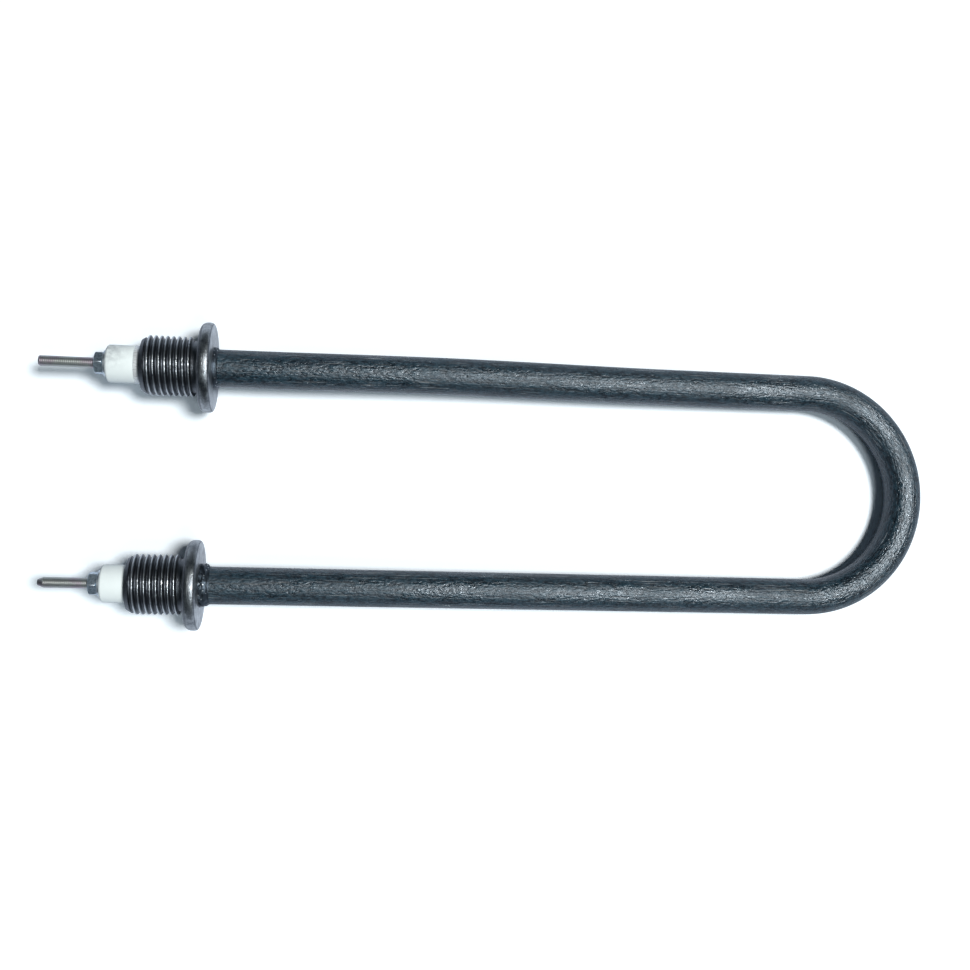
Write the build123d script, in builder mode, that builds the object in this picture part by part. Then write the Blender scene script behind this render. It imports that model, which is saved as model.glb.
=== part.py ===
"""Tubular heating element: a steel tube bent to a hairpin, with a screwed fitting and a terminal per leg.

All sizes are in millimetres. X runs along the legs, from the terminals (-X) to the bend (+X).
The middle line of the bent tube lies in the plane Z = 0, with the left leg at +Y and the right leg at -Y.
The origin is halfway between the legs, in the plane of the right flange's seat, where it bears on the wall.
"""

import os
from dataclasses import dataclass
from math import cos, radians, tan

from build123d import *

# Sheath: one round steel tube, bent once
leg_spacing = 58.0
bend_centre_x = 171.0
tube_diameter = 10.0
tube_wall = 0.8

# Where each leg ends and where each flange bears, which differ a little from leg to leg
left_seat_x = 1.5
right_seat_x = 0.0
left_tube_reach = 16.9
right_tube_reach = 14.6

# Screwed fitting: M16 x 1.5 thread, relief groove and rounded flange
thread_diameter = 16.0
thread_pitch = 1.5
thread_depth = 0.92
thread_angle = 60.0
thread_length = 13.3
run_in_length = 1.9
run_in_depth = 1.1
neck_diameter = 13.8
neck_length = 1.7
flange_diameter = 24.0
flange_thickness = 3.5
flange_seat_round = 1.4
flange_back_round = 0.6
bore_chamfer = 0.35

# Bead of weld metal that holds the fitting to the tube
left_bead_length = 1.2
left_bead_height = 0.6
right_bead_length = 2.6
right_bead_height = 1.1
bead_fullness = 0.6

# Insulator: a ceramic head as wide as the tube, with a spigot inside the tube's end
insulator_length = 7.2
insulator_chamfer = 0.5
spigot_length = 4.0
seal_length = 3.0

# Terminal: threaded rod, washer and hexagon nut, size M3
rod_diameter = 2.9
left_rod_reach = 14.2
right_rod_reach = 12.9
left_tip_taper = 0.3
left_tip_depth = 0.2
right_tip_taper = 1.5
right_tip_depth = 0.65
washer_diameter = 7.0
washer_hole = 3.2
washer_thickness = 0.8
nut_across_flats = 5.5
nut_thickness = 2.4
nut_chamfer_drop = 0.35
left_nut_turn = 0.0
right_nut_turn = 8.0

# Heating conductor inside the tube: the coil is wound onto the rods' turned-down ends, flush with the rods
cold_zone_length = 45.0
coil_grip = 8.0
coil_wire = 0.4

# Clearances between pieces that lie against each other
slip_clearance = 0.05
braze_clearance = 0.03
packing_clearance = 0.03

tube_radius = tube_diameter / 2
tube_inner_radius = tube_radius - tube_wall
rod_radius = rod_diameter / 2
coil_inner_radius = rod_radius - coil_wire
stem_radius = coil_inner_radius - slip_clearance
thread_radius = thread_diameter / 2
neck_radius = neck_diameter / 2
neck_corner_round = thread_radius + slip_clearance - neck_radius
crest_width = thread_pitch / 8
groove_mouth_width = thread_pitch - crest_width
groove_root_width = groove_mouth_width - 2 * thread_depth * tan(radians(thread_angle / 2))


@dataclass
class Side:
    """One leg's end: where it lies and the sizes in which the two legs differ."""

    name: str
    y: float
    seat_x: float
    tube_reach: float
    rod_reach: float
    tip_taper: float
    tip_depth: float
    nut_turn: float
    bead_length: float
    bead_height: float

    @property
    def axis(self):
        """The leg's own middle line."""
        return Axis((0, self.y, 0), (1, 0, 0))

    @property
    def profile_plane(self):
        """The upright plane through the middle line: sketch x is the object's X, sketch y the radius."""
        return Plane.XZ.offset(-self.y)

    @property
    def back_x(self):
        """The flange's face on the bend's side."""
        return self.seat_x + flange_thickness

    @property
    def neck_x(self):
        """Where the relief groove ends and the thread begins."""
        return self.seat_x - neck_length

    @property
    def nose_x(self):
        """The fitting's free end."""
        return self.neck_x - thread_length

    @property
    def tube_end_x(self):
        """The tube's open end."""
        return self.seat_x - self.tube_reach

    @property
    def head_x(self):
        """The insulator's outer face, where the washer lies."""
        return self.tube_end_x - insulator_length

    @property
    def washer_x(self):
        """The washer's outer face, where the nut lies."""
        return self.head_x - washer_thickness

    @property
    def nut_x(self):
        """The nut's outer face."""
        return self.washer_x - nut_thickness

    @property
    def spigot_x(self):
        """The inner end of the insulator's spigot."""
        return self.tube_end_x + spigot_length

    @property
    def packing_x(self):
        """Where the packed powder begins behind the seal."""
        return self.spigot_x + seal_length

    @property
    def rod_end_x(self):
        """The rod's inner end, at the end of the cold zone."""
        return self.tube_end_x + cold_zone_length

    @property
    def coil_x(self):
        """Where the coil begins, wound onto the rod."""
        return self.rod_end_x - coil_grip


left = Side(
    name="left",
    y=leg_spacing / 2,
    seat_x=left_seat_x,
    tube_reach=left_tube_reach,
    rod_reach=left_rod_reach,
    tip_taper=left_tip_taper,
    tip_depth=left_tip_depth,
    nut_turn=left_nut_turn,
    bead_length=left_bead_length,
    bead_height=left_bead_height,
)
right = Side(
    name="right",
    y=-leg_spacing / 2,
    seat_x=right_seat_x,
    tube_reach=right_tube_reach,
    rod_reach=right_rod_reach,
    tip_taper=right_tip_taper,
    tip_depth=right_tip_depth,
    nut_turn=right_nut_turn,
    bead_length=right_bead_length,
    bead_height=right_bead_height,
)


def hairpin(left_x, right_x):
    """The middle line from left_x on the left leg, round the bend, to right_x on the right leg."""
    with BuildLine(Plane.XY) as line:
        Line((left_x, left.y), (bend_centre_x, left.y))
        CenterArc((bend_centre_x, 0), leg_spacing / 2, 90, -180)
        Line((bend_centre_x, right.y), (right_x, right.y))
    return line.wires()[0]


def along_hairpin(path, outer_radius, inner_radius=0.0):
    """A round bar that follows the path, hollow if an inner radius is given."""
    with BuildPart() as bar:
        with BuildSketch(Plane(origin=path @ 0, z_dir=path % 0)):
            Circle(outer_radius)
            if inner_radius > 0:
                Circle(inner_radius, mode=Mode.SUBTRACT)
        sweep(path=path)
    return bar.part


def turned(side, points):
    """A body of revolution about the leg's middle line, from outline points given as x and radius."""
    with BuildPart() as body:
        with BuildSketch(side.profile_plane):
            with BuildLine():
                Polyline(points, close=True)
            make_face()
        revolve(axis=side.axis)
    return body.part


def flange_rim(fitting, end):
    """The widest round edge: end 0 is on the seat's side, end -1 on the bend's side."""
    return fitting.edges().filter_by(GeomType.CIRCLE).group_by(SortBy.RADIUS)[-1].sort_by(Axis.X)[end]


def seat_corner(fitting):
    """The round edge where the relief groove meets the flange's seat."""
    return fitting.edges().filter_by(GeomType.CIRCLE).group_by(Axis.X)[-2].sort_by(SortBy.RADIUS)[0]


def threaded_fitting(side):
    """Turned steel fitting bored for the tube: run-in chamfer, thread form, relief groove, round flange."""
    bore_radius = tube_radius + braze_clearance
    flange_radius = flange_diameter / 2
    first_groove_x = side.neck_x + groove_root_width / 2
    groove_count = int(thread_length / thread_pitch) + 1
    groove_places = [(first_groove_x - n * thread_pitch, thread_radius) for n in range(groove_count)]
    with BuildPart() as fitting:
        with BuildSketch(side.profile_plane):
            with BuildLine():
                Polyline(
                    (side.nose_x, bore_radius + bore_chamfer),
                    (side.nose_x, thread_radius - run_in_depth),
                    (side.nose_x + run_in_length, thread_radius),
                    (side.neck_x, thread_radius),
                    (side.neck_x, neck_radius),
                    (side.seat_x, neck_radius),
                    (side.seat_x, flange_radius),
                    (side.back_x, flange_radius),
                    (side.back_x, bore_radius),
                    (side.nose_x + bore_chamfer, bore_radius),
                    close=True,
                )
            make_face()
        revolve(axis=side.axis)
        fillet(seat_corner(fitting), neck_corner_round)
        fillet(flange_rim(fitting, 0), flange_seat_round)
        fillet(flange_rim(fitting, -1), flange_back_round)
        with BuildSketch(side.profile_plane):
            with Locations(*groove_places):
                Polygon(
                    (-groove_root_width / 2, -thread_depth),
                    (groove_root_width / 2, -thread_depth),
                    (groove_mouth_width / 2, 0),
                    (groove_mouth_width / 2, thread_depth),
                    (-groove_mouth_width / 2, thread_depth),
                    (-groove_mouth_width / 2, 0),
                    align=None,
                )
        revolve(axis=side.axis, mode=Mode.SUBTRACT)
    return fitting.part


def weld_bead(side):
    """Ring of weld metal in the corner between the flange's back and the tube, slightly domed."""
    root_radius = tube_radius + braze_clearance
    top = (side.back_x, root_radius + side.bead_height)
    foot = (side.back_x + side.bead_length, root_radius)
    crown = (side.back_x + bead_fullness * side.bead_length, root_radius + bead_fullness * side.bead_height)
    with BuildPart() as bead:
        with BuildSketch(side.profile_plane):
            with BuildLine():
                Line(foot, (side.back_x, root_radius))
                Line((side.back_x, root_radius), top)
                ThreePointArc(top, crown, foot)
            make_face()
        revolve(axis=side.axis)
    return bead.part


def contact_rod(side):
    """Steel rod from its bevelled tip, through the terminal, to the turned-down end that the coil grips."""
    tip_x = side.nut_x - side.rod_reach
    return turned(
        side,
        [
            (tip_x, 0),
            (tip_x, rod_radius - side.tip_depth),
            (tip_x + side.tip_taper, rod_radius),
            (side.coil_x, rod_radius),
            (side.coil_x, stem_radius),
            (side.rod_end_x, stem_radius),
            (side.rod_end_x, 0),
        ],
    )


def insulator(side):
    """Ceramic bush: a cylindrical head that stands on the tube's end, and a spigot inside the tube."""
    hole_radius = rod_radius + slip_clearance
    spigot_radius = tube_inner_radius - slip_clearance
    return turned(
        side,
        [
            (side.head_x, hole_radius),
            (side.head_x, tube_radius - insulator_chamfer),
            (side.head_x + insulator_chamfer, tube_radius),
            (side.tube_end_x, tube_radius),
            (side.tube_end_x, spigot_radius),
            (side.spigot_x, spigot_radius),
            (side.spigot_x, hole_radius),
        ],
    )


def end_seal(side):
    """Resin plug behind the spigot, which keeps damp out of the powder."""
    inner = rod_radius + packing_clearance
    outer = tube_inner_radius - packing_clearance
    return turned(
        side,
        [(side.spigot_x, inner), (side.spigot_x, outer), (side.packing_x, outer), (side.packing_x, inner)],
    )


def washer(side):
    """Plain washer between the nut and the insulator."""
    inner = washer_hole / 2
    outer = washer_diameter / 2
    return turned(
        side,
        [(side.washer_x, inner), (side.washer_x, outer), (side.head_x, outer), (side.head_x, inner)],
    )


def hexagon_nut(side):
    """Hexagon nut with its corners turned down to a cone on both faces."""
    corner_radius = nut_across_flats / 2 / cos(radians(30))
    chamfer_radius = nut_across_flats / 2 - nut_chamfer_drop / 2
    face = Plane(origin=(side.nut_x, side.y, 0), x_dir=(0, 0, 1), z_dir=(1, 0, 0))
    with BuildPart() as nut:
        with BuildSketch(face):
            RegularPolygon(radius=corner_radius, side_count=6, rotation=side.nut_turn)
            Circle(rod_radius + slip_clearance, mode=Mode.SUBTRACT)
        extrude(amount=nut_thickness)
        with BuildSketch(side.profile_plane):
            with BuildLine():
                Polyline(
                    (side.nut_x, 0),
                    (side.nut_x, chamfer_radius),
                    (side.nut_x + nut_chamfer_drop, corner_radius),
                    (side.washer_x - nut_chamfer_drop, corner_radius),
                    (side.washer_x, chamfer_radius),
                    (side.washer_x, 0),
                    close=True,
                )
            make_face()
        revolve(axis=side.axis, mode=Mode.INTERSECT)
    return nut.part


def magnesia_filling():
    """Compacted powder between the tube and the conductor, from seal to seal."""
    route = hairpin(left.packing_x, right.packing_x)
    return along_hairpin(route, tube_inner_radius - packing_clearance, rod_radius + packing_clearance)


def magnesia_core():
    """The same powder inside the coil, between the ends of the two rods."""
    route = hairpin(left.rod_end_x, right.rod_end_x)
    return along_hairpin(route, coil_inner_radius - packing_clearance)


def sheath_tube():
    """The bent tube that everything is carried on."""
    route = hairpin(left.tube_end_x, right.tube_end_x)
    return along_hairpin(route, tube_radius, tube_inner_radius)


def resistance_coil():
    """The room that the wound wire takes up: a sleeve one wire thick, from stem to stem."""
    route = hairpin(left.coil_x, right.coil_x)
    return along_hairpin(route, rod_radius, coil_inner_radius)


pieces = {
    "sheath_tube": sheath_tube(),
    "magnesia_filling": magnesia_filling(),
    "magnesia_core": magnesia_core(),
    "resistance_coil": resistance_coil(),
}
for side in (left, right):
    pieces[f"{side.name}_contact_rod"] = contact_rod(side)
    pieces[f"{side.name}_end_seal"] = end_seal(side)
    pieces[f"{side.name}_insulator"] = insulator(side)
    pieces[f"{side.name}_washer"] = washer(side)
    pieces[f"{side.name}_nut"] = hexagon_nut(side)
    pieces[f"{side.name}_threaded_fitting"] = threaded_fitting(side)
    pieces[f"{side.name}_weld_bead"] = weld_bead(side)

os.makedirs("parts", exist_ok=True)
for name, piece in pieces.items():
    piece.label = name
    export_step(piece, f"parts/{name}.step")
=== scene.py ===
"""Tubular heating element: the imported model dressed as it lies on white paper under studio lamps."""

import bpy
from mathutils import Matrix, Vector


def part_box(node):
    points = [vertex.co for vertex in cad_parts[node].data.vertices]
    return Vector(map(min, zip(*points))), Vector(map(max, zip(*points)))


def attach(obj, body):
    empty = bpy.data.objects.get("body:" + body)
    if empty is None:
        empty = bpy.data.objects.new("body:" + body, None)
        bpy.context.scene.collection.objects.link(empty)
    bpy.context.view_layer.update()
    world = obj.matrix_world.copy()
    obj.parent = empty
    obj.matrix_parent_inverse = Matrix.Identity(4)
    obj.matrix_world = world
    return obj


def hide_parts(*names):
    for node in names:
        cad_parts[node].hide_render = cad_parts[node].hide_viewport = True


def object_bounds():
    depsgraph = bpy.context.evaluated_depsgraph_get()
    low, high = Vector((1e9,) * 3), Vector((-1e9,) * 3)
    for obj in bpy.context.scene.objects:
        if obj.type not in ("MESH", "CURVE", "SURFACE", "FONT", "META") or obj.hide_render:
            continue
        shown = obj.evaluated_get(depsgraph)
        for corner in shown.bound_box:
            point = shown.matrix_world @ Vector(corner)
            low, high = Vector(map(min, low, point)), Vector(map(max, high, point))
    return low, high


bl_info = {
    "name": "Tubular heating element",
    "version": (1, 0, 0),
    "blender": (4, 5, 0),
    "location": "3D View > Sidebar > Heater",
    "description": "Builds a bent tubular heater with screwed fittings, and the paper and lamps around it",
    "category": "Object",
}

from dataclasses import dataclass
from math import cos, exp, pi, radians, sin, tan

import bmesh
import bpy
from bpy.props import FloatProperty, FloatVectorProperty, PointerProperty
from mathutils import Vector, noise

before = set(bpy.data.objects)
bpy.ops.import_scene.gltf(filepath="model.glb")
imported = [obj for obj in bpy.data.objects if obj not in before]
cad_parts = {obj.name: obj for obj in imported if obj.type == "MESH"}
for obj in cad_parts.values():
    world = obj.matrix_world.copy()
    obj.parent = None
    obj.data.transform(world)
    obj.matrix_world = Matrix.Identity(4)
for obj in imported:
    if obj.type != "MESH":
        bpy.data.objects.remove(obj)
cad_low, cad_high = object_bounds()

MM = 0.001


def linear(red, green, blue):
    """A screen colour of 0 to 255 as the linear colour that shaders take."""
    parts = [part / 255 for part in (red, green, blue)]
    return tuple(part / 12.92 if part <= 0.04045 else ((part + 0.055) / 1.055) ** 2.4 for part in parts)


def length(name, description, default):
    """A property that holds a length in metres."""
    return FloatProperty(
        name=name, description=description, default=default, min=0, precision=5, unit="LENGTH"
    )


def amount(name, description, default):
    """A property that holds a plain number of at least 0."""
    return FloatProperty(name=name, description=description, default=default, min=0)


def power(name, description, default):
    """A property that holds a lamp's power in watts."""
    return FloatProperty(name=name, description=description, default=default, min=0, unit="POWER")


def colour(name, description, default):
    """A property that holds a linear colour."""
    return FloatVectorProperty(
        name=name, description=description, default=default, size=3, min=0, max=1, subtype="COLOR"
    )


def spot(name, description, default):
    """A property that holds a place in metres."""
    return FloatVectorProperty(
        name=name, description=description, default=default, size=3, subtype="TRANSLATION", unit="LENGTH"
    )


def turn(name, description, degrees):
    """A property that holds a turn about x, y and z, given in degrees."""
    default = tuple(radians(angle) for angle in degrees)
    return FloatVectorProperty(
        name=name, description=description, default=default, size=3, subtype="EULER", unit="ROTATION"
    )


class HeaterSizes(bpy.types.PropertyGroup):
    """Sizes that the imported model's boxes don't give."""

    tube_wall: length("Tube wall", "Thickness of the sheath's wall", 0.8 * MM)
    tube_edge: length("Tube edge", "Round on the sheath's sawn ends", 0.12 * MM)
    tube_uneven: length("Tube unevenness", "How far the drawn sheath's surface may lie low", 0.012 * MM)
    leg_bow: length("Leg bow", "How far the left leg bows outward beside its fitting", 0.45 * MM)
    bow_length: length("Bow length", "Length of the left leg over which it bows", 125 * MM)
    bore_gap: length("Bore gap", "Room between the sheath and what is slipped over it", 0.03 * MM)

    thread_pitch: length("Thread pitch", "Pitch of the fittings' M16 thread", 1.5 * MM)
    thread_depth: length("Thread depth", "Depth of the fittings' thread", 0.92 * MM)
    thread_diameter: length("Thread diameter", "Diameter over the fittings' thread", 16 * MM)
    run_in_length: length("Run-in length", "Length of the cone at the thread's start", 1.9 * MM)
    run_in_depth: length("Run-in depth", "Depth of the cone at the thread's start", 1.1 * MM)
    bore_chamfer: length("Bore chamfer", "Chamfer at the mouth of the fitting's bore", 0.35 * MM)
    neck_length: length("Neck length", "Length of the relief groove beside the flange", 1.7 * MM)
    neck_diameter: length("Neck diameter", "Diameter at the bottom of the relief groove", 13.8 * MM)
    flange_thickness: length("Flange thickness", "Thickness of the flange", 3.5 * MM)
    seat_round: length("Seat round", "Round on the flange's rim, on the seat's side", 2.1 * MM)
    back_round: length("Back round", "Round on the flange's rim, on the bend's side", 1.15 * MM)
    # The rim's band is partly worn steel and partly a painted highlight on the rounded rim.
    rim_sheen_and_wear_band: length("Rim wear band", "Width of the band of wear at the flange's rim", 0.9 * MM)
    rim_sheen_and_wear_fade: length("Rim wear fade", "Width over which the wear at the rim grows", 0.7 * MM)

    spigot_length: length("Spigot length", "Length of the insulator inside the sheath", 4 * MM)
    insulator_chamfer: length("Insulator chamfer", "Chamfer on the insulator's outer edge", 0.5 * MM)
    insulator_round: length("Insulator round", "Round on the insulator's chamfer", 0.15 * MM)
    spigot_round: length("Spigot round", "Round on the spigot's end", 0.3 * MM)
    scuff_reach: length("Scuff reach", "How far the rubbed-on grey runs along the insulator", 2.2 * MM)
    rod_thread_pitch: length("Rod thread pitch", "Pitch of the rods' M3 thread", 0.5 * MM)
    rod_thread_depth: length("Rod thread depth", "Depth of the rods' worn thread", 0.07 * MM)
    stem_length: length("Stem length", "Length of the rods' turned-down inner ends", 8 * MM)
    stem_drop: length("Stem drop", "How far the turned-down ends lie below the rod", 0.45 * MM)
    slip_gap: length("Slip gap", "Room between a rod and what is slipped over it", 0.05 * MM)
    washer_hole: length("Washer hole", "Diameter of the washers' hole", 3.2 * MM)
    punched_round: length("Washer round", "Round on the washers' smooth rim", 0.2 * MM)
    nut_across_flats: length("Nut size", "Width across the nuts' flats", 5.5 * MM)
    nut_chamfer: length("Nut chamfer", "How far the cone on a nut's corners drops", 0.35 * MM)
    nut_blunting: length("Nut blunting", "How far a nut's corners are rubbed down", 0.06 * MM)


class HeaterColours(bpy.types.PropertyGroup):
    """Colours of the finishes, dark and bright ones of the same stuff side by side."""

    scale_dark: colour("Scale, dark", "Darkest mill scale on the sheath", linear(7, 18, 26))
    scale_mid: colour("Scale, middle", "Usual mill scale on the sheath", linear(38, 60, 71))
    scale_grey: colour("Scale, grey", "Greyer patches of the sheath's scale", linear(46, 56, 66))
    scratch_pale: colour("Scratches", "Bare metal in the sheath's scratches", linear(226, 229, 229))
    oiled_steel: colour("Oiled steel", "Dark oil-black film on the fittings", linear(90, 94, 99))
    # Also painted sheen: the same pale steel brightens the flange's back face and part of its rim.
    sheen_and_worn_steel: colour("Worn steel", "Bare steel on crests and rims", linear(208, 213, 216))
    weld_dark: colour("Weld, dark", "Burnt skin of the weld beads", linear(70, 78, 86))
    # Painted highlight: the pale colour laid as glints on the weld beads.
    weld_painted_glint: colour("Weld, bright", "Bright spots of the weld beads", linear(200, 206, 208))
    rod_grey: colour("Rod", "Steel of the contact rods", linear(192, 195, 190))
    rod_tint: colour("Rod tint", "Heat tint on the contact rods", linear(188, 176, 184))
    rod_drawn: colour("Rod, drawn", "Greyer draw lines on the contact rods", linear(110, 116, 120))
    zinc: colour("Zinc", "Zinc plate of nuts and washers", linear(212, 226, 236))
    zinc_dull: colour("Zinc, dull", "Clouded zinc in the dimples", linear(146, 162, 174))
    zinc_rubbed: colour("Zinc, rubbed", "Rubbed corners of the nuts", linear(224, 230, 234))
    ceramic: colour("Ceramic", "Unglazed white ceramic", linear(245, 252, 250))
    ceramic_scuff: colour("Scuff", "Grey rubbed onto the ceramic", linear(150, 156, 160))
    magnesia: colour("Magnesia", "Compacted magnesia powder", linear(226, 222, 212))
    magnesia_shade: colour("Magnesia, shade", "Darker grains of the powder", linear(204, 198, 186))
    coil_wire: colour("Coil wire", "Oxidised heating wire", linear(96, 92, 86))
    coil_shine: colour("Coil shine", "Brighter spots of the heating wire", linear(140, 136, 130))
    seal_resin: colour("Seal resin", "Resin that closes the sheath's ends", linear(120, 62, 44))
    seal_shade: colour("Seal, shade", "Darker lumps of the resin", linear(90, 44, 32))
    paper: colour("Paper", "Paper under the heater", (0.73, 0.78, 0.88))
    paper_white: amount("Paper white", "How white the paper looks to the camera", 1.25)


class HeaterStudio(bpy.types.PropertyGroup):
    """Lamps, surroundings and how the heater lies under them."""

    key_power: power("Key power", "Power of the far lamp, high up beyond the bend", 58)
    fill_power: power("Fill power", "Power of the near lamp on the right leg's side", 2.3)
    key_width: length("Key width", "Width of the far lamp", 0.68)
    fill_width: length("Fill width", "Width of the near lamp", 0.36)
    key_place: spot("Key place", "Where the far lamp hangs", (0.90, 0.11, 2.4))
    fill_place: spot("Fill place", "Where the near lamp hangs", (0.34, -0.42, 1.0))
    sky_light: amount("Surroundings", "Brightness of the surroundings", 0.05)
    paper_drop: length("Paper gap", "Least room between the heater and the paper", 0.05 * MM)
    paper_reach: length("Paper reach", "From the paper's middle to each of its edges", 0.9)
    camera_place: spot("Camera place", "Where the camera is", (42.2 * MM, -13.5 * MM, 294.2 * MM))
    camera_turn: turn("Camera turn", "Camera's turn from straight down", (2.41, -7.14, 1.47))
    lens_length: amount("Lens", "Focal length of the camera's lens, in millimetres", 40.08)
    sensor_width: amount("Sensor", "Width of the camera's sensor, in millimetres", 36)


@dataclass
class Leg:
    """One leg's end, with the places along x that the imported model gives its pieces."""

    side: str
    y: float
    nose_x: float
    back_x: float
    bead_end_x: float
    bead_radius: float
    flange_radius: float
    head_x: float
    spigot_x: float
    washer_x: float
    nut_x: float
    tip_x: float
    rod_end_x: float
    rod_radius: float
    nut_turn: float


def measured_leg(side, nut_turn):
    """Reads one leg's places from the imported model."""
    fitting_low, fitting_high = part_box(f"{side}_threaded_fitting")
    bead_low, bead_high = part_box(f"{side}_weld_bead")
    insulator_low, insulator_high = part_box(f"{side}_insulator")
    washer_low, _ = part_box(f"{side}_washer")
    nut_low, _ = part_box(f"{side}_nut")
    rod_low, rod_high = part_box(f"{side}_contact_rod")
    return Leg(
        side=side,
        y=(fitting_low.y + fitting_high.y) / 2,
        nose_x=fitting_low.x,
        back_x=fitting_high.x,
        bead_end_x=bead_high.x,
        bead_radius=(bead_high.z - bead_low.z) / 2,
        flange_radius=(fitting_high.z - fitting_low.z) / 2,
        head_x=insulator_low.x,
        spigot_x=insulator_high.x,
        washer_x=washer_low.x,
        nut_x=nut_low.x,
        tip_x=rod_low.x,
        rod_end_x=rod_high.x,
        rod_radius=(rod_high.z - rod_low.z) / 2,
        nut_turn=nut_turn,
    )


left = measured_leg("left", nut_turn=0.0)
right = measured_leg("right", nut_turn=radians(8))
tube_low, tube_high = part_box("sheath_tube")
tube_radius = (tube_high.z - tube_low.z) / 2
bend_radius = (left.y - right.y) / 2
bend_centre_x = tube_high.x - tube_radius - bend_radius
heater_middle = Vector((0.1, 0, 0))
crease_angle = radians(38)

# Fineness of the meshes: points round each kind of piece, and along the sheath
tube_steps = 72
station_spacing = 2 * MM
bend_stations = 90
fitting_steps = 128
bead_steps = 96
insulator_steps = 96
washer_steps = 72
nut_steps = 180
rod_steps = 48
rows_per_pitch = 30
rod_rows_per_pitch = 10


def sizes():
    """The sizes that a user may change."""
    return bpy.context.scene.heater_sizes


def colours():
    """The colours that a user may change."""
    return bpy.context.scene.heater_colours


def studio():
    """The lamps and surroundings that a user may change."""
    return bpy.context.scene.heater_studio


class Signal:
    """A shader socket that can be calculated with: an expression on signals adds its own Math nodes."""

    def __init__(self, finish, socket):
        self.finish = finish
        self.socket = socket

    def calculate(self, operation, *values):
        """A Math node's result for two values or signals."""
        return self.finish.node("ShaderNodeMath", {"operation": operation}, dict(enumerate(values)))

    def __add__(self, other):
        return self.calculate("ADD", self, other)

    def __sub__(self, other):
        return self.calculate("SUBTRACT", self, other)

    def __mul__(self, other):
        return self.calculate("MULTIPLY", self, other)

    def __radd__(self, other):
        return self.calculate("ADD", other, self)

    def __rsub__(self, other):
        return self.calculate("SUBTRACT", other, self)

    def __rmul__(self, other):
        return self.calculate("MULTIPLY", other, self)

    def least(self, other):
        """The smaller of this and another signal."""
        return self.calculate("MINIMUM", self, other)

    def most(self, other):
        """The larger of this and another signal."""
        return self.calculate("MAXIMUM", self, other)

    def step(self, low, high):
        """0 below low and 1 above high, with a soft rise between them."""
        settings = {"interpolation_type": "SMOOTHSTEP"}
        return self.finish.node("ShaderNodeMapRange", settings, {0: self, 1: low, 2: high, 3: 0.0, 4: 1.0})


class Finish:
    """One material, or the surroundings, built node by node."""

    def __init__(self, name, library=bpy.data.materials, output_kind="ShaderNodeOutputMaterial"):
        self.material = library.new(name)
        self.material.use_nodes = True
        self.output_kind = output_kind
        self.tree = self.material.node_tree
        self.tree.nodes.clear()

    def node(self, kind, settings, inputs, output=0):
        """Adds a node, gives it its settings and then its inputs, and returns one of its outputs."""
        added = self.tree.nodes.new(kind)
        for name, value in settings.items():
            setattr(added, name, value)
        for name, value in inputs.items():
            if isinstance(value, Signal):
                self.tree.links.new(value.socket, added.inputs[name])
            else:
                added.inputs[name].default_value = value
        return Signal(self, added.outputs[output])

    def mark(self, name, output=2):
        """A value, or with output 1 a vector, that the piece's mesh holds for each point."""
        return self.node("ShaderNodeAttribute", {"attribute_name": name}, {}, output)

    def place(self):
        """The place on the piece, in metres."""
        return self.node("ShaderNodeTexCoord", {}, {}, output=3)

    def in_mm(self, place, stretch=(1, 1, 1)):
        """A place in millimetres, with each direction scaled by a stretch of its own."""
        factors = tuple(1000 * part for part in stretch)
        return self.node("ShaderNodeVectorMath", {"operation": "MULTIPLY"}, {0: place, 1: factors})

    def grain(self, place, size, detail=3.0, roughness=0.55):
        """Cloudy noise from 0 to 1 whose lumps are about as wide as the size, in the place's unit."""
        inputs = {"Vector": place, "Scale": 1 / size, "Detail": detail, "Roughness": roughness}
        return self.node("ShaderNodeTexNoise", {}, inputs)

    def spots(self, place, size):
        """Distance to the nearest of scattered points, in shares of their spacing."""
        return self.node("ShaderNodeTexVoronoi", {"feature": "F1"}, {"Vector": place, "Scale": 1 / size})

    def blend(self, factor, first, second):
        """The first colour where the factor is 0 and the second where it is 1."""
        ends = [(*end, 1.0) if isinstance(end, tuple) else end for end in (first, second)]
        settings = {"data_type": "RGBA"}
        return self.node("ShaderNodeMix", settings, {0: factor, 6: ends[0], 7: ends[1]}, output=2)

    def relief(self, height, depth):
        """A normal that follows a height of 0 to 1, whose full step is as deep as given, in metres."""
        return self.node("ShaderNodeBump", {}, {"Strength": 1.0, "Distance": depth, "Height": height})

    def surface(self, inputs):
        """Ends the material with one shader that takes these inputs, and returns the material."""
        shader = self.node("ShaderNodeBsdfPrincipled", {}, inputs)
        self.node_to_output(shader)
        return self.material

    def node_to_output(self, shader):
        """Shows a shader on the surface."""
        output = self.tree.nodes.new(self.output_kind)
        self.tree.links.new(shader.socket, output.inputs["Surface"])


def plain(colour_value):
    """A colour property as a plain tuple."""
    return tuple(colour_value)


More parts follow.
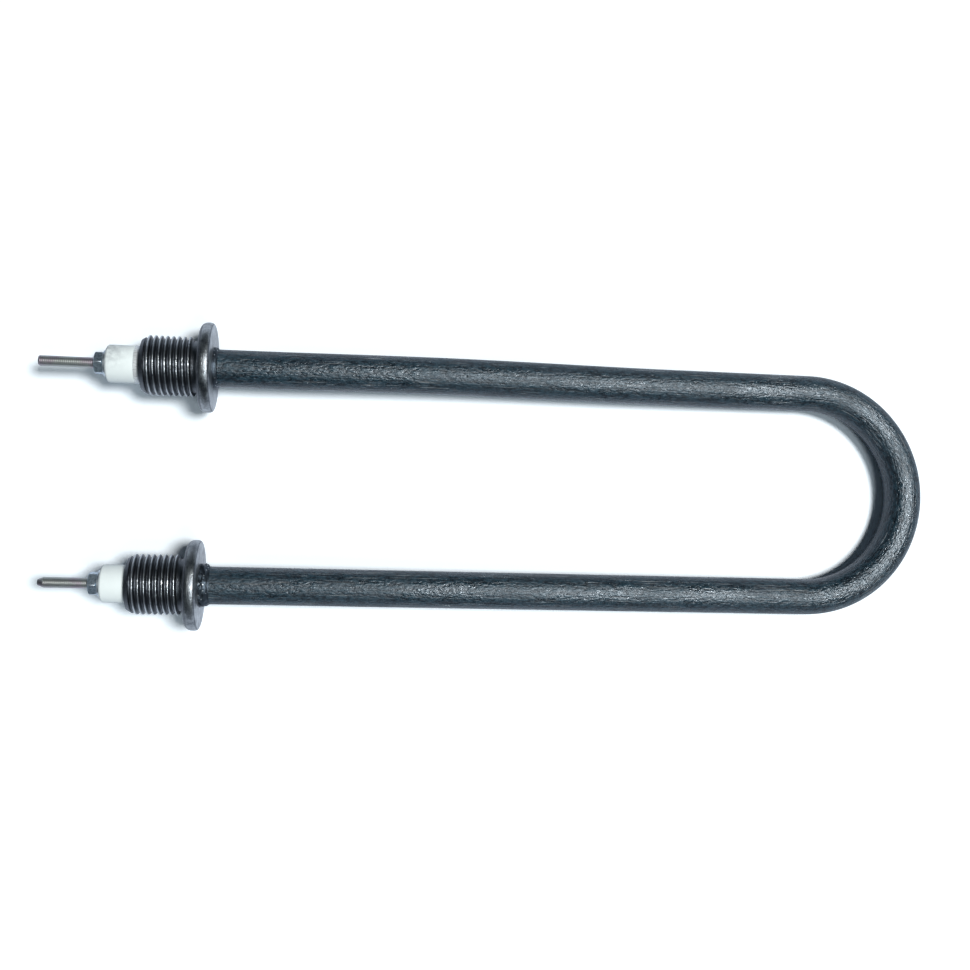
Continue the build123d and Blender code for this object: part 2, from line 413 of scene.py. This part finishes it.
def sheath_finish(tube_length):
    """Dark grey mill scale, pebbled so that it glitters, with lengthwise scratches and bare ends."""
    paint = colours()
    finish = Finish("sheath_steel_dressed")
    unbent = finish.mark("unbent", output=1)
    along = finish.node("ShaderNodeSeparateXYZ", {}, {0: unbent})
    streaks = finish.grain(finish.in_mm(unbent, (0.06, 1, 1)), 0.5, detail=4)
    clouds = finish.grain(finish.in_mm(unbent, (0.35, 1, 1)), 3.5, detail=4)
    pebbles = finish.grain(finish.in_mm(unbent, (0.42, 1, 1)), 0.6, detail=3, roughness=0.57)
    glints = finish.grain(finish.in_mm(unbent, (0.3, 1, 1)), 0.42, detail=2).step(0.5, 0.66)
    polished = finish.grain(finish.in_mm(unbent, (0.22, 0.6, 0.6)), 4.5, detail=2).step(0.36, 0.62)
    scratch_field = finish.grain(finish.in_mm(unbent, (0.02, 1, 1)), 0.3, detail=2)
    scratches = scratch_field.step(0.62, 0.7) * clouds.step(0.42, 0.55)
    from_end = along.least(tube_length - along)
    bare_end = 1 - from_end.step(0.9 * MM, 1.7 * MM)
    mottle = 0.4 * streaks + 0.6 * pebbles
    scale = finish.blend(mottle.step(0.4, 0.6), plain(paint.scale_dark), plain(paint.scale_mid))
    scale = finish.blend(clouds.step(0.5, 0.75) * 0.5, scale, plain(paint.scale_grey))
    bright = (scratches * 0.3).most(bare_end)
    base = finish.blend(bright, scale, plain(paint.scratch_pale))
    rough = 0.4 + 0.16 * clouds - 0.16 * glints - 0.15 * polished - 0.05 * bright
    height = 0.7 * pebbles + 0.2 * streaks + 0.1 * clouds - 0.2 * scratches
    height = height * (1 - 0.8 * bare_end)
    return finish.surface({
        "Base Color": base,
        "Specular Tint": (0.85, 0.93, 1.0, 1.0),
        "IOR": 1.74,
        "Metallic": 0.3 * bright,
        "Roughness": rough,
        "Normal": finish.relief(height, 0.4 * MM),
    })


def fitting_finish():
    """Turned steel blackened by oil, rubbed bright on crests, with its rims partly rubbed bright and partly
    painted highlight, and its back face painted pale as sheen.
    """
    paint = colours()
    finish = Finish("fitting_steel_dressed")
    place = finish.place()
    # The wear mark's pale steel is real wear on the crests, partly painted highlight on the rim and painted
    # sheen on the back face.
    wear = finish.mark("wear")
    patches = finish.grain(finish.in_mm(place), 2.2, detail=4)
    fine = finish.grain(finish.in_mm(place), 0.25, detail=3)
    turning = finish.grain(finish.in_mm(place, (1, 0.08, 0.08)), 0.12, detail=2)
    rubbed = (wear + 0.45 * (patches - 0.5) + 0.3 * (fine - 0.5)).step(0.62, 0.95)
    film = finish.blend(fine, plain(paint.oiled_steel), tuple(1.5 * part for part in paint.oiled_steel))
    base = finish.blend(rubbed * 0.9, film, plain(paint.sheen_and_worn_steel))
    rough = 0.26 + 0.2 * patches - 0.06 * rubbed
    height = 0.3 * fine + 0.2 * turning + 0.5 * patches
    return finish.surface({
        "Base Color": base,
        "Metallic": 1.0,
        "Roughness": rough,
        "Normal": finish.relief(height, 0.2 * MM),
    })


def weld_finish():
    """Burnt, pitted weld metal with painted highlights as bright spots."""
    paint = colours()
    finish = Finish("weld_metal_dressed")
    place = finish.in_mm(finish.place())
    pits = finish.grain(place, 0.7, detail=5)
    # Painted highlights: pale glints laid on scattered points of the pitted bead.
    spots = 1 - finish.spots(place, 0.9).step(0.12, 0.4)
    base = finish.blend((spots * pits).step(0.3, 0.6), plain(paint.weld_dark), plain(paint.weld_painted_glint))
    return finish.surface({
        "Base Color": base,
        "Metallic": 1.0,
        "Roughness": 0.3 + 0.35 * pits,
        "Normal": finish.relief(pits, 0.12 * MM),
    })


def rod_finish():
    """Drawn steel with a faint heat tint and greyer draw lines."""
    paint = colours()
    finish = Finish("rod_steel_dressed")
    place = finish.place()
    drawn = finish.grain(finish.in_mm(place, (0.08, 1, 1)), 0.3, detail=4)
    tint = finish.grain(finish.in_mm(place), 5.0)
    fine = finish.grain(finish.in_mm(place), 0.3)
    base = finish.blend(tint.step(0.4, 0.6), plain(paint.rod_grey), plain(paint.rod_tint))
    base = finish.blend(0.35 * drawn, base, plain(paint.rod_drawn))
    return finish.surface({
        "Base Color": base,
        "Metallic": 1.0,
        "Roughness": 0.32 + 0.25 * drawn,
        "Normal": finish.relief(0.5 * drawn + 0.5 * fine, 0.015 * MM),
    })


def zinc_finish():
    """Bluish zinc plate, dull in its dimples and rubbed on its corners."""
    paint = colours()
    finish = Finish("zinc_plate_dressed")
    place = finish.in_mm(finish.place())
    wear = finish.mark("wear")
    bloom = finish.grain(place, 0.8, detail=4)
    fine = finish.grain(place, 0.18)
    dull = finish.blend(bloom.step(0.35, 0.7), plain(paint.zinc), plain(paint.zinc_dull))
    base = finish.blend((wear * fine).step(0.3, 0.6), dull, plain(paint.zinc_rubbed))
    return finish.surface({
        "Base Color": base,
        "Metallic": 1.0,
        "Roughness": 0.26 + 0.28 * bloom,
        "Normal": finish.relief(0.6 * bloom + 0.4 * fine, 0.03 * MM),
    })


def ceramic_finish(name, scuff_share):
    """Unglazed white ceramic with a fine tooth, dark specks and, on its outer edge, rubbed-on grey."""
    paint = colours()
    finish = Finish(name)
    place = finish.in_mm(finish.place())
    tooth = finish.grain(place, 0.25, detail=4)
    clouds = finish.grain(place, 1.6, detail=4)
    specks = 1 - finish.spots(place, 1.5).step(0.05, 0.13)
    scuff = finish.mark("scuff") * (clouds + 0.6 * tooth).step(0.55, 1.0)
    soiled = (scuff * scuff_share).most(specks * clouds.step(0.55, 0.7) * 0.5)
    base = finish.blend(soiled, plain(paint.ceramic), plain(paint.ceramic_scuff))
    return finish.surface({
        "Base Color": base,
        "Roughness": 0.55 + 0.2 * tooth,
        "Normal": finish.relief(tooth, 0.02 * MM),
    })


def packed_finish(name, paints, lump, roughness, metallic):
    """A grainy finish for what lies inside the sheath."""
    finish = Finish(name)
    place = finish.in_mm(finish.place())
    lumps = finish.grain(place, lump, detail=4)
    return finish.surface({
        "Base Color": finish.blend(lumps, *paints),
        "Metallic": metallic,
        "Roughness": roughness + 0.15 * lumps,
        "Normal": finish.relief(lumps, 0.05 * MM),
    })


def paper_finish():
    """White paper that keeps the heater's shadow, and looks whiter to the camera than to the heater."""
    paint = colours()
    finish = Finish("paper")
    watched = finish.node("ShaderNodeLightPath", {}, {}, output=0)
    matt = finish.node("ShaderNodeBsdfDiffuse", {}, {"Color": (*paint.paper, 1.0)})
    bluish = (0.94, 0.99, 1.03)
    cool_white = [paint.paper_white * part for part in bluish]
    bright = finish.node("ShaderNodeBsdfDiffuse", {}, {"Color": (*cool_white, 1.0)})
    finish.node_to_output(finish.node("ShaderNodeMixShader", {}, {0: watched, 1: matt, 2: bright}))
    return finish.material


def skin(name, rings, loop, marks):
    """A closed piece over rings of points, joined to a loop or closed by a point at each end.

    The marks are lists with a value for each point, which the finish reads by the mark's name.
    """
    maker = bmesh.new()
    rows = [[maker.verts.new(point) for point in ring] for ring in rings]
    pairs = list(zip(rows, rows[1:]))
    if loop:
        pairs.append((rows[-1], rows[0]))
    for row, following in pairs:
        for here in range(len(row)):
            after = (here + 1) % len(row)
            maker.faces.new((row[here], row[after], following[after], following[here]))
    if not loop:
        for row in (rows[0], rows[-1]):
            middle = maker.verts.new(sum((point.co for point in row), Vector()) / len(row))
            for here in range(len(row)):
                maker.faces.new((row[here], row[(here + 1) % len(row)], middle))
    bmesh.ops.recalc_face_normals(maker, faces=maker.faces)
    mesh = bpy.data.meshes.new(name)
    maker.to_mesh(mesh)
    maker.free()
    mesh.shade_smooth()
    mesh.set_sharp_from_angle(angle=crease_angle)
    for mark, values in marks.items():
        kind, field = ("FLOAT_VECTOR", "vector") if isinstance(values[0], tuple) else ("FLOAT", "value")
        attribute = mesh.attributes.new(mark, kind, "POINT")
        spare = len(mesh.vertices) - len(values)
        filled = values + values[-1:] * spare
        flat = [part for value in filled for part in value] if kind == "FLOAT_VECTOR" else filled
        attribute.data.foreach_set(field, flat)
    piece = bpy.data.objects.new(name, mesh)
    bpy.context.scene.collection.objects.link(piece)
    return piece


def turned(name, leg, outline, steps, shape=None, loop=True, marks=None):
    """A turned piece: places and radii carried round the leg's middle line.

    The shape, where there is one, gives the radius for a place, the outline's radius and an angle.
    The marks are functions of a place, the radius there and an angle, for values that the finish reads.
    """
    rings = []
    values = {mark: [] for mark in marks or {}}
    for along, radius in outline:
        ring = []
        for step in range(steps):
            angle = 2 * pi * step / steps
            reach = shape(along, radius, angle) if shape else radius
            ring.append(Vector((along, leg.y + reach * cos(angle), reach * sin(angle))))
            for mark in values:
                values[mark].append(marks[mark](along, reach, angle))
        rings.append(ring)
    return skin(name, rings, loop, values)


def softened(corners, steps=4):
    """An outline whose corners, given as x, radius and round, are bent over curves of that size."""
    points = []
    for number, (along, radius, round_size) in enumerate(corners):
        corner = Vector((along, radius))
        if round_size == 0:
            points.append(tuple(corner))
            continue
        before = Vector(corners[number - 1][:2])
        after = Vector(corners[(number + 1) % len(corners)][:2])
        start = corner + (before - corner).normalized() * round_size
        end = corner + (after - corner).normalized() * round_size
        for step in range(steps + 1):
            part = step / steps
            bend = (1 - part) ** 2 * start + 2 * part * (1 - part) * corner + part ** 2 * end
            points.append(tuple(bend))
    return points


def evenly(start, end, spacing):
    """Places from start up to end, about as far apart as the spacing."""
    count = max(1, round((end - start) / spacing))
    return [start + (end - start) * number / count for number in range(count + 1)]


def thread_cut(along, angle, crest_x, pitch, depth):
    """How far a right-hand thread's surface lies below its crest, at a place and an angle."""
    half_crest = pitch / 16
    flank_width = depth * tan(radians(30))
    softness = 0.4
    turns = (along - crest_x) / pitch - (angle - pi / 2) / (2 * pi)
    off_crest = abs(turns - round(turns)) * pitch
    slope = min(max((off_crest - half_crest) / flank_width, 0), 1)
    soft = slope * slope * (3 - 2 * slope)
    return depth * ((1 - softness) * slope + softness * soft)


def dress(piece, node, material):
    """Puts a piece in its node's place, with its finish."""
    piece.data.materials.append(material)
    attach(piece, "root")
    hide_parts(node)


def leg_bow(along):
    """How far the left leg's middle line stands outward at a place along it."""
    size = sizes()
    way = (along - left.bead_end_x) / size.bow_length
    if way <= 0 or way >= 1:
        return 0.0
    return size.leg_bow * sin(pi * way) ** 2


def hairpin_stations(left_end_x, right_end_x):
    """Middle points, outward directions and lengths along the tube, from the left end round to the right."""
    stations = []
    travelled = 0.0
    for along in evenly(left_end_x, bend_centre_x, station_spacing):
        travelled = along - left_end_x
        stations.append((Vector((along, left.y + leg_bow(along), 0)), Vector((0, 1, 0)), travelled))
    straight = travelled
    for number in range(1, bend_stations + 1):
        angle = pi * number / bend_stations
        outward = Vector((sin(angle), cos(angle), 0))
        travelled = straight + bend_radius * angle
        stations.append((Vector((bend_centre_x, 0, 0)) + bend_radius * outward, outward, travelled))
    bent = travelled
    for along in reversed(evenly(right_end_x, bend_centre_x, station_spacing)[:-1]):
        travelled = bent + bend_centre_x - along
        stations.append((Vector((along, right.y, 0)), Vector((0, -1, 0)), travelled))
    return stations


def make_sheath():
    """The bent tube with its wall, its sawn ends and the slight unevenness of drawn tube."""
    size = sizes()
    stations = hairpin_stations(left.spigot_x - size.spigot_length, right.spigot_x - size.spigot_length)
    inner_radius = tube_radius - size.tube_wall
    rings = []
    unbent = []

    def add_ring(middle, outward, travelled, radius):
        ring = []
        for step in range(tube_steps):
            angle = 2 * pi * step / tube_steps
            across = radius * cos(angle)
            up = radius * sin(angle)
            ring.append(middle + outward * across + Vector((0, 0, up)))
            unbent.append((travelled, across, up))
        rings.append(ring)

    edge = size.tube_edge
    uneven_spacing = 9 * MM
    first_middle, first_outward, first_travelled = stations[0]
    last_middle, last_outward, last_travelled = stations[-1]
    add_ring(first_middle, first_outward, first_travelled, tube_radius - edge)
    shift = Vector((edge, 0, 0))
    add_ring(first_middle + shift, first_outward, first_travelled + edge, tube_radius)
    for middle, outward, travelled in stations[1:-1]:
        uneven = size.tube_uneven * noise.noise(Vector((travelled / uneven_spacing, 0, 0)))
        add_ring(middle, outward, travelled, tube_radius - abs(uneven))
    add_ring(last_middle + shift, last_outward, last_travelled - edge, tube_radius)
    add_ring(last_middle, last_outward, last_travelled, tube_radius - edge)
    for middle, outward, travelled in reversed(stations):
        add_ring(middle, outward, travelled, inner_radius)
    piece = skin("sheath", rings, True, {"unbent": unbent})
    dress(piece, "sheath_tube", sheath_finish(last_travelled))


def make_fitting(leg, material):
    """A turned fitting whose thread runs round it as a true helix."""
    size = sizes()
    bore_radius = tube_radius + size.bore_gap
    crest_radius = size.thread_diameter / 2
    neck_radius = size.neck_diameter / 2
    seat_x = leg.back_x - size.flange_thickness
    neck_x = seat_x - size.neck_length
    corner = crest_radius + size.slip_gap - neck_radius
    crest_before_neck = 5 / 12
    crest_x = neck_x - crest_before_neck * size.thread_pitch
    start_radius = crest_radius - size.run_in_depth
    back_face_x = leg.back_x - 0.1 * MM
    # Painted sheen: the flange's back face takes most of the pale steel colour. The rim's band is partly
    # worn steel and partly painted highlight.
    back_face_sheen = 0.8
    rim_sheen_and_wear = 0.77
    flank_fade = 1.6
    raggedness = 0.03 * MM
    thread_rows = []
    for along in evenly(leg.nose_x, neck_x, size.thread_pitch / rows_per_pitch):
        risen = min((along - leg.nose_x) / size.run_in_length, 1)
        thread_rows.append((along, start_radius + risen * size.run_in_depth))
    outline = [
        (leg.back_x, bore_radius),
        (leg.nose_x + size.bore_chamfer, bore_radius),
        (leg.nose_x, bore_radius + size.bore_chamfer),
    ]
    outline += thread_rows
    outline += softened([
        (neck_x, neck_radius, 0),
        (seat_x, neck_radius, corner),
        (seat_x, leg.flange_radius, size.seat_round),
        (leg.back_x, leg.flange_radius, size.back_round),
        (leg.back_x, bore_radius, 0),
    ], steps=7)[:-1]

    def shape(along, radius, angle):
        if along > neck_x or radius < start_radius or radius > crest_radius:
            return radius
        cut = thread_cut(along, angle, crest_x, size.thread_pitch, size.thread_depth)
        ragged = raggedness * noise.noise(Vector((along / MM, 2 * cos(angle), 2 * sin(angle))))
        return min(radius, crest_radius - cut + min(ragged, 0))

    # Worn thread crests, the rim's band of wear and painted highlight, and the back face's painted sheen.
    def wear(along, radius, angle):
        if along > back_face_x:
            return back_face_sheen
        if along > neck_x:
            rim = (radius - (leg.flange_radius - size.rim_sheen_and_wear_band)) / size.rim_sheen_and_wear_fade
            return max(0.0, min(rim, 1.0)) * rim_sheen_and_wear
        below = (crest_radius - radius) / size.thread_depth
        return max(0.0, 1.0 - flank_fade * below)

    piece = turned(f"{leg.side}_fitting", leg, outline, fitting_steps, shape=shape, marks={"wear": wear})
    dress(piece, f"{leg.side}_threaded_fitting", material)


def make_bead(leg, material, roughness):
    """A bead of weld metal round the tube, whose height and edge vary more the rougher it was laid."""
    root_radius = tube_radius + sizes().bore_gap
    bead_height = leg.bead_radius - root_radius
    bead_length = leg.bead_end_x - leg.back_x
    lump_spacing = 0.9 * MM
    edge_fade = 0.25
    least_height = 0.02
    rows = 12
    outline = [(leg.back_x, root_radius)]
    for number in range(rows + 1):
        angle = pi / 2 * number / rows
        outline.append((leg.back_x + bead_length * sin(angle), root_radius + bead_height * cos(angle)))

    def shape(along, radius, angle):
        field = Vector((along / lump_spacing, 3 * cos(angle), 3 * sin(angle)))
        lump = noise.noise(field) + 0.5 * noise.noise(2.3 * field)
        height = 1 - roughness * (0.45 + 0.55 * lump)
        edge = 1 - roughness * (0.4 + 0.4 * noise.noise(Vector((5, 4 * cos(angle), 4 * sin(angle)))))
        past_edge = (along - leg.back_x) / bead_length - edge
        height *= min(max(1 - past_edge / edge_fade, 0), 1)
        return root_radius + (radius - root_radius) * min(max(height, least_height), 1.0)

    piece = turned(f"{leg.side}_bead", leg, outline, bead_steps, shape=shape)
    dress(piece, f"{leg.side}_weld_bead", material)


def make_insulator(leg, material):
    """A ceramic bush: its head stands on the tube's end and its spigot inside it."""
    size = sizes()
    tube_end_x = leg.spigot_x - size.spigot_length
    hole_radius = leg.rod_radius + size.slip_gap
    spigot_radius = tube_radius - size.tube_wall - size.slip_gap
    chamfer = size.insulator_chamfer
    scuff_turn = radians(35)
    outline = softened([
        (leg.head_x, hole_radius, 0),
        (leg.head_x, tube_radius - chamfer, size.insulator_round),
        (leg.head_x + chamfer, tube_radius, size.insulator_round),
        (tube_end_x, tube_radius, size.tube_edge),
        (tube_end_x, spigot_radius, 0),
        (leg.spigot_x, spigot_radius, size.spigot_round),
        (leg.spigot_x, hole_radius, 0),
    ])

    def scuff(along, radius, angle):
        outer = exp(-((along - leg.head_x) / size.scuff_reach) ** 2)
        return outer * max(0.0, cos(angle - scuff_turn))

    piece = turned(f"{leg.side}_ceramic", leg, outline, insulator_steps, marks={"scuff": scuff})
    dress(piece, f"{leg.side}_insulator", material)


def make_washer(leg, material):
    """A plain washer, punched from sheet: its rim is round on one face and sharper on the other."""
    size = sizes()
    hole_radius = size.washer_hole / 2
    sharper_round = size.punched_round / 2
    low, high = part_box(f"{leg.side}_washer")
    outer_radius = (high.z - low.z) / 2
    worn_band = 0.25 * MM
    outline = softened([
        (leg.washer_x, hole_radius, 0.8 * sharper_round),
        (leg.washer_x, outer_radius, size.punched_round),
        (leg.head_x, outer_radius, sharper_round),
        (leg.head_x, hole_radius, 0.5 * sharper_round),
    ])

    def wear(along, radius, angle):
        return max(0.0, min((radius - outer_radius + worn_band) / worn_band, 1.0))

    piece = turned(f"{leg.side}_plain_washer", leg, outline, washer_steps, marks={"wear": wear})
    dress(piece, f"{leg.side}_washer", material)


def make_nut(leg, material):
    """A hexagon nut with its corners turned down to a cone on both faces."""
    size = sizes()
    flat_radius = size.nut_across_flats / 2
    corner_radius = flat_radius / cos(radians(30))
    chamfer_radius = flat_radius - size.nut_chamfer / 2
    hole_radius = leg.rod_radius + size.slip_gap
    rise = corner_radius - chamfer_radius
    cone = [(size.nut_chamfer * part, chamfer_radius + rise * part) for part in evenly(0, 1, 1 / 8)]
    outline = [(leg.nut_x, hole_radius)]
    outline += [(leg.nut_x + inward, radius) for inward, radius in cone]
    outline += [(leg.washer_x - inward, radius) for inward, radius in reversed(cone)]
    outline.append((leg.washer_x, hole_radius))

    def shape(along, radius, angle):
        if radius < chamfer_radius:
            return radius
        from_corner = (angle - radians(90) - leg.nut_turn) % radians(60)
        across = from_corner - radians(30)
        flat = flat_radius / cos(across)
        return min(radius, flat, corner_radius - size.nut_blunting)

    def wear(along, radius, angle):
        return max(0.0, (radius - flat_radius) / (corner_radius - flat_radius))

    piece = turned(f"{leg.side}_hexagon_nut", leg, outline, nut_steps, shape=shape, marks={"wear": wear})
    dress(piece, f"{leg.side}_nut", material)


def make_rod(leg, material, tip_taper, tip_depth):
    """A contact rod: its worn thread outside, its plain stretch inside and its turned-down end."""
    size = sizes()
    stem_x = leg.rod_end_x - size.stem_length
    stem_radius = leg.rod_radius - size.stem_drop
    outline = [
        (leg.tip_x, leg.rod_radius - tip_depth),
        (leg.tip_x + tip_taper, leg.rod_radius),
    ]
    threads = evenly(leg.tip_x + tip_taper, leg.head_x, size.rod_thread_pitch / rod_rows_per_pitch)
    outline += [(along, leg.rod_radius) for along in threads[1:]]
    outline += [
        (stem_x, leg.rod_radius),
        (stem_x, stem_radius),
        (leg.rod_end_x, stem_radius),
    ]

    def shape(along, radius, angle):
        if along >= leg.head_x or radius < leg.rod_radius:
            return radius
        return radius - thread_cut(along, angle, leg.head_x, size.rod_thread_pitch, size.rod_thread_depth)

    piece = turned(f"{leg.side}_rod", leg, outline, rod_steps, shape=shape, loop=False)
    dress(piece, f"{leg.side}_contact_rod", material)


def make_paper():
    """The sheet that the heater lies on, tilted so that it runs just below the flanges and the bend."""
    light = studio()
    flange_x = left.back_x - sizes().back_round
    flange_z = cad_low.z - light.paper_drop
    bend_x = bend_centre_x + bend_radius
    bend_z = -tube_radius - light.paper_drop
    slope = (bend_z - flange_z) / (bend_x - flange_x)
    reach = light.paper_reach
    corners = []
    for along, across in ((-reach, -reach), (reach, -reach), (reach, reach), (-reach, reach)):
        corners.append((along, across, flange_z + slope * (along - flange_x)))
    mesh = bpy.data.meshes.new("paper_sheet")
    mesh.from_pydata(corners, [], [(0, 1, 2, 3)])
    mesh.update()
    sheet = bpy.data.objects.new("paper_sheet", mesh)
    mesh.materials.append(paper_finish())
    bpy.context.scene.collection.objects.link(sheet)


def make_lamp(name, place, width, energy, tint):
    """A round soft lamp that faces the middle of the heater."""
    lamp = bpy.data.lights.new(name, "AREA")
    lamp.shape = "DISK"
    lamp.size = width
    lamp.energy = energy
    lamp.color = tint
    holder = bpy.data.objects.new(name, lamp)
    holder.location = place
    holder.rotation_euler = (heater_middle - Vector(place)).to_track_quat("-Z", "Y").to_euler()
    bpy.context.scene.collection.objects.link(holder)


def make_lamps():
    """A far lamp beyond the bend, a near one on the right leg's side, and dim even surroundings."""
    light = studio()
    make_lamp("key_lamp", light.key_place, light.key_width, light.key_power, tint=(0.98, 1, 1))
    make_lamp("fill_lamp", light.fill_place, light.fill_width, light.fill_power, tint=(0.84, 0.94, 1))
    around = Finish("surroundings", bpy.data.worlds, "ShaderNodeOutputWorld")
    watched = around.node("ShaderNodeLightPath", {}, {}, output=0)
    dim = {"Color": (0.62, 0.83, 1.0, 1.0), "Strength": light.sky_light}
    room = around.node("ShaderNodeBackground", {}, dim)
    white = around.node("ShaderNodeBackground", {}, {"Color": (1.0, 1.0, 1.0, 1.0), "Strength": 1.0})
    around.node_to_output(around.node("ShaderNodeMixShader", {}, {0: watched, 1: room, 2: white}))
    bpy.context.scene.world = around.material


def make_camera():
    """The camera as the photograph has it: above the legs, looking down and a little to the bend."""
    view = studio()
    lens = bpy.data.cameras.new("photo_camera")
    lens.sensor_width = view.sensor_width
    lens.lens = view.lens_length
    lens.clip_start = 10 * MM
    camera = bpy.data.objects.new("photo_camera", lens)
    camera.location = view.camera_place
    camera.rotation_euler = view.camera_turn
    bpy.context.scene.collection.objects.link(camera)
    bpy.context.scene.camera = camera


class HEATER_OT_add_sheath(bpy.types.Operator):
    """Builds the bent sheath tube"""

    bl_idname = "heater.add_sheath"
    bl_label = "Sheath tube"

    def execute(self, context):
        make_sheath()
        return {"FINISHED"}


class HEATER_OT_add_fittings(bpy.types.Operator):
    """Builds both screwed fittings"""

    bl_idname = "heater.add_fittings"
    bl_label = "Screwed fittings"

    def execute(self, context):
        material = fitting_finish()
        for leg in (left, right):
            make_fitting(leg, material)
        return {"FINISHED"}


class HEATER_OT_add_beads(bpy.types.Operator):
    """Builds the weld beads behind the flanges"""

    bl_idname = "heater.add_beads"
    bl_label = "Weld beads"

    def execute(self, context):
        material = weld_finish()
        make_bead(left, material, roughness=0.35)
        make_bead(right, material, roughness=0.9)
        return {"FINISHED"}


class HEATER_OT_add_insulators(bpy.types.Operator):
    """Builds the ceramic insulators"""

    bl_idname = "heater.add_insulators"
    bl_label = "Insulators"

    def execute(self, context):
        make_insulator(left, ceramic_finish("left_ceramic_dressed", scuff_share=0.8))
        make_insulator(right, ceramic_finish("right_ceramic_dressed", scuff_share=0.1))
        return {"FINISHED"}


class HEATER_OT_add_terminals(bpy.types.Operator):
    """Builds the contact rods, washers and nuts"""

    bl_idname = "heater.add_terminals"
    bl_label = "Terminals"

    def execute(self, context):
        steel = rod_finish()
        zinc = zinc_finish()
        make_rod(left, steel, tip_taper=0.3 * MM, tip_depth=0.2 * MM)
        make_rod(right, steel, tip_taper=1.5 * MM, tip_depth=0.65 * MM)
        for leg in (left, right):
            make_washer(leg, zinc)
            make_nut(leg, zinc)
        return {"FINISHED"}


class HEATER_OT_finish_inside(bpy.types.Operator):
    """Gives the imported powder, the coil and the seals their finishes"""

    bl_idname = "heater.finish_inside"
    bl_label = "Inner pieces"

    def execute(self, context):
        paint = colours()
        pale = (plain(paint.magnesia), plain(paint.magnesia_shade))
        metal = (plain(paint.coil_wire), plain(paint.coil_shine))
        brown = (plain(paint.seal_resin), plain(paint.seal_shade))
        powder = packed_finish("magnesia_dressed", pale, lump=0.4, roughness=0.75, metallic=0.0)
        wire = packed_finish("coil_wire_dressed", metal, lump=0.5, roughness=0.4, metallic=1.0)
        resin = packed_finish("seal_resin_dressed", brown, lump=0.8, roughness=0.3, metallic=0.0)
        finishes = {
            "magnesia_filling": powder,
            "magnesia_core": powder,
            "resistance_coil": wire,
            "left_end_seal": resin,
            "right_end_seal": resin,
        }
        for node, material in finishes.items():
            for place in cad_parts[node].material_slots:
                place.material = material
        return {"FINISHED"}


class HEATER_OT_set_stage(bpy.types.Operator):
    """Lays the paper and sets the lamps, the surroundings and the camera"""

    bl_idname = "heater.set_stage"
    bl_label = "Paper, lamps and camera"

    def execute(self, context):
        make_camera()
        make_paper()
        make_lamps()
        context.scene.view_settings.view_transform = "Standard"
        return {"FINISHED"}


class VIEW3D_PT_heater(bpy.types.Panel):
    """Lists the heater's pieces and what a user may change"""

    bl_label = "Tubular heating element"
    bl_idname = "VIEW3D_PT_heater"
    bl_space_type = "VIEW_3D"
    bl_region_type = "UI"
    bl_category = "Heater"

    def draw(self, context):
        for operator in operators:
            self.layout.operator(operator.bl_idname)
        for group in (context.scene.heater_sizes, context.scene.heater_colours, context.scene.heater_studio):
            box = self.layout.box()
            for name in group.__annotations__:
                box.prop(group, name)


groups = {"heater_sizes": HeaterSizes, "heater_colours": HeaterColours, "heater_studio": HeaterStudio}
operators = (
    HEATER_OT_set_stage,
    HEATER_OT_add_sheath,
    HEATER_OT_add_fittings,
    HEATER_OT_add_beads,
    HEATER_OT_add_insulators,
    HEATER_OT_add_terminals,
    HEATER_OT_finish_inside,
)


def register():
    """Makes the property groups, operators and panel known to Blender."""
    for name, group in groups.items():
        bpy.utils.register_class(group)
        setattr(bpy.types.Scene, name, PointerProperty(type=group))
    for operator in operators:
        bpy.utils.register_class(operator)
    bpy.utils.register_class(VIEW3D_PT_heater)


def unregister():
    """Takes back what register made known."""
    bpy.utils.unregister_class(VIEW3D_PT_heater)
    for operator in reversed(operators):
        bpy.utils.unregister_class(operator)
    for name, group in reversed(groups.items()):
        delattr(bpy.types.Scene, name)
        bpy.utils.unregister_class(group)


def main():
    """Builds the whole scene."""
    register()
    bpy.ops.heater.set_stage()
    bpy.ops.heater.add_sheath()
    bpy.ops.heater.add_fittings()
    bpy.ops.heater.add_beads()
    bpy.ops.heater.add_insulators()
    bpy.ops.heater.add_terminals()
    bpy.ops.heater.finish_inside()


if __name__ == "__main__":
    main()
